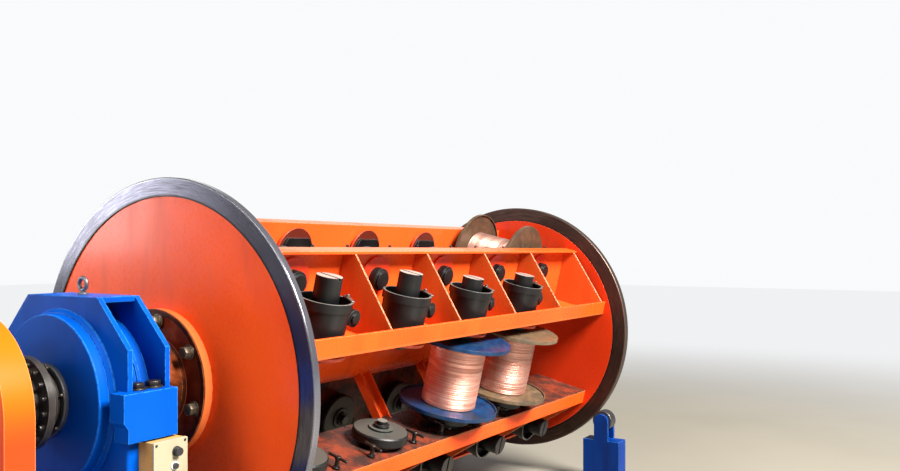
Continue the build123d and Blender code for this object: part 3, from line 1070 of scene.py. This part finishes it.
@dataclass
class ControlBox(Assembly):
    """The control box with its knob and push button."""

    lid: float = 0.013
    screw_inset: float = 0.013
    screw: HexBolt = HexBolt(
        across=0.009, height=0.002, washer=0.001, washer_radius=0.006, chamfer=0.0008
    )
    ring_gap: float = 0.0005
    ring_width: float = 0.006
    ring_height: float = 0.004

    def dress(self) -> None:
        """Paints the box, whose body is yellower than its lid."""
        low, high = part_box("control_box")
        body = Zone((0.0, 1.0, 0.0), 0.0, low.y + self.lid, high.y, srgb(190, 142, 72))
        self.paint(Enamel(
            "box_enamel", srgb(143, 136, 113), srgb(128, 112, 80), srgb(190, 182, 160),
            grime=0.5, zones=(body,),
        ), "control_box")
        self.paint(Plastic("black_plastic", srgb(24, 24, 27)), "speed_knob", "push_button")

    def build(self) -> None:
        """Sets the lid's screws, and the pale ring round the push button."""
        low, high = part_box("control_box")
        outwards = Matrix.Rotation(math.radians(90.0), 4, "X")
        inset = self.screw_inset
        places = [
            Matrix.Translation((x, low.y, z)) @ outwards
            for x in (low.x + inset, high.x - inset) for z in (low.z + inset, high.z - inset)
        ]
        self.add("lid_screws", self.screw.pattern(), places, BOLT_STEEL, "frame")
        button_low, button_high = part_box("push_button")
        centre = (button_low + button_high) / 2
        inner = (button_high.x - button_low.x) / 2 + self.ring_gap
        ring = drum(40, inner + self.ring_width, self.ring_height)
        pick(ring, lambda face: abs(face.normal.z) > 0.9)
        bpy.ops.mesh.inset(thickness=self.ring_width)
        bpy.ops.mesh.bridge_edge_loops()
        point_outwards()
        bevel(ring, 0.0012, 3)
        place = Matrix.Translation((centre.x, low.y, centre.z)) @ outwards
        white = Plastic("white_plastic", srgb(196, 198, 196))
        self.add("button_ring", smooth(ring), [place], white, "frame", "box_enamel")


@dataclass
class Rollers(Assembly):
    """The two rollers under the rear disc, on their stands."""

    foot_inset: float = 0.025
    foot_height: float = 0.030
    anchor: HexBolt = HexBolt(across=0.030, height=0.018, washer_radius=0.020, stud=0.014)
    stands: tuple[str, str] = ("near_roller_stand", "far_roller_stand")

    def dress(self) -> None:
        """Paints the stands and the rollers."""
        # The stands' blue is darker and grimier than the pedestal's: partly dirt, partly painted
        # shade.
        self.paint(Enamel(
            "stand_enamel", srgb(0, 48, 124), srgb(0, 30, 84), srgb(50, 130, 210),
            roughness=0.4, grime=0.6, edge_light=0.8, edge_radius=0.006,
        ), *self.stands)
        self.paint(OiledIron(
            "roller_steel", srgb(84, 82, 84), srgb(60, 54, 50), srgb(190, 190, 190), metallic=0.8
        ), "near_roller", "far_roller")

    def build(self) -> None:
        """Sets the stands' anchors."""
        places = [
            place for stand in self.stands
            for place in foot_corners(stand, self.foot_inset, self.foot_height)
        ]
        self.add("stand_anchors", self.anchor.pattern(), places, BOLT_STEEL, "frame")


@dataclass(frozen=True)
class Clamp:
    """A clamping screw with a bar across its head; two stand beside each chuck.

    The cap is its share of the stem's radius, and how far it goes below and above the bar.
    """

    height: float = 0.060
    stem: float = 0.012
    bar: float = 0.008
    reach: float = 0.132
    foot: float = 0.021
    foot_height: float = 0.012
    edge: float = 0.002
    cap: tuple[float, float, float] = (1.3, 0.010, 0.008)

    def pattern(self) -> Object:
        """Models one screw.

        Returns:
            The screw, standing on Z = 0 with its bar along Y.
        """
        share, below, above = self.cap
        low = self.height - below
        high = self.height + above
        stem = turn_up(
            [(self.foot, 0.0), (self.foot, self.foot_height),
             (self.stem, self.foot_height + 2 * self.edge), (self.stem, low - self.edge),
             (self.stem * share, low), (self.stem * share, high),
             (self.stem, high + self.edge)], 20)
        bevel(stem, 0.001, 2)
        clear()
        bpy.ops.mesh.primitive_cylinder_add(
            vertices=16, radius=self.bar, depth=self.reach, location=(0, 0, self.height),
            rotation=(math.radians(90), 0, 0),
        )
        bar = settle()
        bevel(bar, self.bar * 0.4, 3)
        return smooth(join([stem, bar]))


@dataclass(frozen=True)
class Pawl:
    """A retaining pawl that lies along a housing's rim, on a screw."""

    length: float = 0.112
    width: float = 0.030
    height: float = 0.012
    screw: HexBolt = HexBolt(across=0.017, height=0.008, washer=0.002, washer_radius=0.011)

    def pattern(self) -> Object:
        """Models one pawl.

        Returns:
            The pawl, lying on Z = 0 with its length along X.
        """
        clear()
        bpy.ops.mesh.primitive_cube_add(size=1.0, location=(0, 0, self.height / 2))
        bpy.ops.transform.resize(value=(self.length, self.width, self.height))
        bar = settle()
        pick(bar, lambda face: face.normal.x < -0.9)
        bpy.ops.transform.resize(value=(1, 0.62, 0.6), center_override=(-self.length / 2, 0, 0))
        bevel(bar, 0.003, 2)
        screw = self.screw.pattern()
        screw.data.transform(Matrix.Translation((self.length * 0.24, 0, self.height)))
        return smooth(join([bar, screw]))


@dataclass
class Chucks(Assembly):
    """The rows of chucks and housings, with levels of their faces over the arm's walls."""

    seat: float = 0.0345
    pad: float = 0.0145
    face: tuple[float, float] = (0.0845, 0.1120)
    pin_top: tuple[float, float] = (0.1340, 0.1380)
    rim_top: tuple[float, float] = (0.2280, 0.2320)
    quill_tops: tuple[tuple[float, float], ...] = ((0.2935, 0.2965), (0.3410, 0.3450))
    clamp_place: tuple[float, float] = (0.195, -0.108)
    clamp_swing: float = 14.0
    pawl_radius: float = 0.125
    pawl_angle: float = -28.0
    pawl_swing: float = 6.0
    iron: OiledIron = OiledIron(
        "clamp_iron", srgb(30, 25, 23), srgb(58, 44, 36), srgb(120, 108, 98), metallic=0.3
    )
    pawl_iron: OiledIron = OiledIron(
        "pawl_iron", srgb(92, 78, 72), srgb(60, 46, 40), srgb(168, 150, 142), metallic=0.3
    )

    def zones(self, row: int) -> tuple[Zone, ...]:
        """Where a row's chucks aren't black.

        Args:
            row: The row.

        Returns:
            The painted plates, then the faces pale with wear and dust, where the lowest row's quill
            caps are darkened as painted shade.
        """
        wall, back = self.machine.pocket_half, self.machine.arm_back
        # The lowest row's quill caps are darkened as painted shade; the others are pale with wear.
        wear_and_painted_light = srgb(44, 40, 38) if row == ROWS - 1 else srgb(150, 134, 126)
        faces = [
            (-wall, self.face, srgb(70, 72, 67)),
            (-wall, self.pin_top, srgb(98, 98, 92)),
            (back, self.rim_top, srgb(100, 96, 92)),
        ]
        faces += [(back, top, wear_and_painted_light) for top in self.quill_tops]
        return (
            self.machine.zone(row, wall - self.seat, wall, srgb(196, 66, 30)),
            self.machine.zone(row, -back - self.pad, -back, srgb(226, 58, 18)),
            *(self.machine.zone(row, base + low, base + high, colour, True)
              for base, (low, high), colour in faces),
        )

    def dress(self) -> None:
        """Blackens each row."""
        for row in range(ROWS):
            self.paint(OiledIron(
                f"row_{row + 1}_iron", srgb(12, 12, 13), srgb(27, 26, 25), srgb(120, 122, 118),
                metallic=0.1, edge_light=0.4, dustiness=0.55, roughness=0.4, specular=0.35,
                fine_wear=True, zones=self.zones(row),
            ), f"row_{row + 1}_chucks")

    def build(self) -> None:
        """Sets the clamping screws beside the chucks and the pawls on the housings."""
        machine = self.machine
        aside, out = self.clamp_place
        spots = [(-aside, out, 0.0), (aside, out, 0.0)]
        places = machine.on_chucks(-machine.pocket_half, spots, self.clamp_swing, self.draw)
        self.add("clamp_screws", Clamp().pattern(), places, self.iron, "cage")
        angle = math.radians(self.pawl_angle)
        spot = (self.pawl_radius * math.cos(angle), self.pawl_radius * math.sin(angle),
                self.pawl_angle + 90.0)
        top = machine.arm_back + machine.rim_height
        places = machine.on_chucks(top, [spot], self.pawl_swing, self.draw)
        self.add("rim_pawls", Pawl().pattern(), places, self.pawl_iron, "cage", "chuck_iron")


@dataclass
class Bobbins(Assembly):
    """Three painted spools with copper wire in close turns."""

    radius: float = 0.172
    half: float = 0.2055
    pitch: float = 0.0048
    groove: float = 0.0012
    slack: float = 0.0009
    sides: int = 72
    copper: tuple[Colour, ...] = (srgb(232, 160, 138), srgb(246, 196, 180), srgb(204, 116, 92))
    shade_shares: tuple[float, ...] = (1.0, 0.75, 0.45)
    spools: tuple[SpoolPaint, ...] = (
        SpoolPaint("blue_spool", srgb(1, 34, 68), srgb(14, 64, 106), srgb(54, 60, 64), 0.58),
        SpoolPaint("tan_spool", srgb(84, 68, 50), srgb(116, 96, 74), srgb(80, 76, 68)),
        SpoolPaint("rusty_spool", srgb(70, 52, 38), srgb(92, 72, 54), srgb(72, 64, 56)),
    )

    def dress(self) -> None:
        """Paints the spools."""
        for number, finish in enumerate(self.spools, 1):
            self.paint(finish, f"bobbin_{number}_spool")

    def winding(self) -> Object:
        """Models the slightly uneven turns.

        Returns:
            The winding, standing along Z round the origin.
        """
        turns = round(2 * self.half / self.pitch)
        step = 2 * self.half / turns
        profile = [(self.radius - self.groove, -self.half)]
        for index in range(turns):
            foot = -self.half + index * step
            crest = self.radius + self.draw.uniform(-self.slack, self.slack)
            profile.append((crest, foot + step * 0.3))
            profile.append((crest, foot + step * 0.7))
            profile.append((self.radius - self.groove, foot + step))
        return smooth(turn_up(profile, self.sides), 60.0)

    def build(self) -> None:
        """Winds the copper on the three bobbins, the later ones dimmed as painted shade."""
        for number, share in enumerate(self.shade_shares, 1):
            joint = self.machine.joints[f"bobbin_{number}_spin"]
            # Each later winding's copper is dimmed, as painted shade that holds down its highlight.
            tones = [dimmed(tone, share) for tone in self.copper]
            across = (joint["axis"][1], joint["axis"][2])
            finish = CopperWire(f"bright_copper_{number}", *tones, across)
            aim = Vector(joint["axis"]).to_track_quat("Z", "X").to_matrix().to_4x4()
            places = [Matrix.Translation(joint["pos_m"]) @ aim]
            piece = self.add(
                f"copper_winding_{number}", self.winding(), places, finish,
                f"bobbin_{number}", "copper_wire",
            )
            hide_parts(f"bobbin_{number}_winding")


class Light(Enum):
    """Lamps of the studio: place, aim, size, power and colour."""

    KEY = ((1.35, -10.4, 10.5), (1.7, 0.0, 1.1), 4.6, 9000.0, (1.0, 0.97, 0.92))
    WINDOW = ((-3.4, 6.5, 2.75), (0.42, 0.3, 1.9), 1.9, 180.0, (0.96, 0.98, 1.0))
    FRONT = ((-6.0, 0.5, 5.5), (0.4, 0.0, 1.5), 4.0, 420.0, (1.0, 0.99, 0.98))
    BACK = ((9.0, 5.2, 4.5), (1.3, -0.5, 1.8), 6.0, 140.0, (1.0, 0.98, 0.96))
    LOW = ((1.5, -2.4, 0.05), (1.6, -1.2, 1.2), 1.2, 12.0, (1.0, 0.96, 0.92))

    def add(self) -> None:
        """Adds the lamp to the scene."""
        place, aim, size, power, colour = self.value
        data = bpy.data.lights.new(self.name.lower() + "_light", "AREA")
        data.size = size
        data.energy = power
        data.color = colour
        lamp = bpy.data.objects.new(data.name, data)
        lamp.location = place
        lamp.rotation_euler = (Vector(aim) - Vector(place)).to_track_quat("-Z", "Y").to_euler()
        bpy.context.scene.collection.objects.link(lamp)
        LOG.info("added %s", lamp.name)


@dataclass(frozen=True)
class Studio:
    """Pale floor, soft light and the camera."""

    eye: tuple[float, float, float] = (-2.2605, -3.4125, 1.8447)
    heading: float = 32.84
    focal_share: float = 838.82 / 900
    horizon_shift: float = 0.0162
    sensor: float = 36.0
    floor_half: float = 40.0
    middle: float = 1.8
    fade: tuple[float, float] = (4.0, 13.0)
    floor_colour: Colour = srgb(130, 125, 114)
    far_colour: Colour = srgb(238, 239, 240)
    sky_colour: Colour = (0.93, 0.95, 1.0)
    sky_strength: float = 0.16
    backdrop: Colour = (0.95, 0.96, 0.97)

    def floor(self) -> None:
        """Lays the floor, which fades into the backdrop far off."""
        clear()
        bpy.ops.mesh.primitive_plane_add(size=2 * self.floor_half, location=(0, 0, 0))
        floor = bpy.context.active_object
        floor.name = "studio_floor"
        pal = Palette("studio_floor")
        black = (0.0, 0.0, 0.0)
        cloud = pal.noise(0.6, 3.0).step(0.3, 0.7)
        tone = pal.mix(cloud, self.floor_colour, dimmed(self.floor_colour, 0.93))
        x, y, _ = pal.axes()
        out = x - self.middle
        far = (out * out + y * y).root().step(*self.fade)
        give(floor, pal.finish(
            Base_Color=pal.mix(far, tone, black), Roughness=0.6, Specular_IOR_Level=0.2,
            Emission_Color=pal.mix(far, black, self.far_colour), Emission_Strength=1.0,
        ))

    def sky(self) -> None:
        """Lights the world plainly and shows it white to the camera."""
        world = bpy.data.worlds.new("studio")
        bpy.context.scene.world = world
        world.use_nodes = True
        sky = Nodes(world.node_tree)
        glow, seen = (
            sky.node("ShaderNodeBackground", inputs={"Color": colour, "Strength": strength})
            for colour, strength in ((self.sky_colour, self.sky_strength), (self.backdrop, 1.0))
        )
        direct = sky.node("ShaderNodeLightPath").outputs["Is Camera Ray"]
        blend = sky.node(
            "ShaderNodeMixShader", inputs={0: direct, 1: glow.outputs[0], 2: seen.outputs[0]}
        )
        sky.node("ShaderNodeOutputWorld", inputs={"Surface": blend.outputs[0]})

    def camera(self) -> None:
        """Sets the camera at the photograph's place and angle."""
        data = bpy.data.cameras.new("view")
        data.sensor_fit = "HORIZONTAL"
        data.sensor_width = self.sensor
        data.lens = self.focal_share * self.sensor
        data.shift_y = self.horizon_shift
        data.clip_end = 200.0
        camera = bpy.data.objects.new("view", data)
        camera.location = self.eye
        camera.rotation_euler = (math.radians(90), 0, math.radians(self.heading - 90))
        bpy.context.scene.collection.objects.link(camera)
        bpy.context.scene.camera = camera


def main() -> None:
    """Builds the scene in order and reports each piece."""
    logging.basicConfig(level=logging.INFO, format="%(name)s: %(message)s")
    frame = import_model()
    bpy.context.scene.view_settings.view_transform = "Standard"
    studio = Studio()
    studio.floor()
    studio.sky()
    studio.camera()
    for lamp in Light:
        lamp.add()
    machine = Machine(frame["nodes"], {joint["name"]: joint for joint in frame["joints"]})
    draw = random.Random(SEED)
    for group in (Bobbins, Discs, Arms, Pedestal, Drive, ControlBox, Rollers, Chucks):
        assembly = group(machine, draw)
        assembly.dress()
        assembly.build()
    clear()


if __name__ == "__main__":
    main()
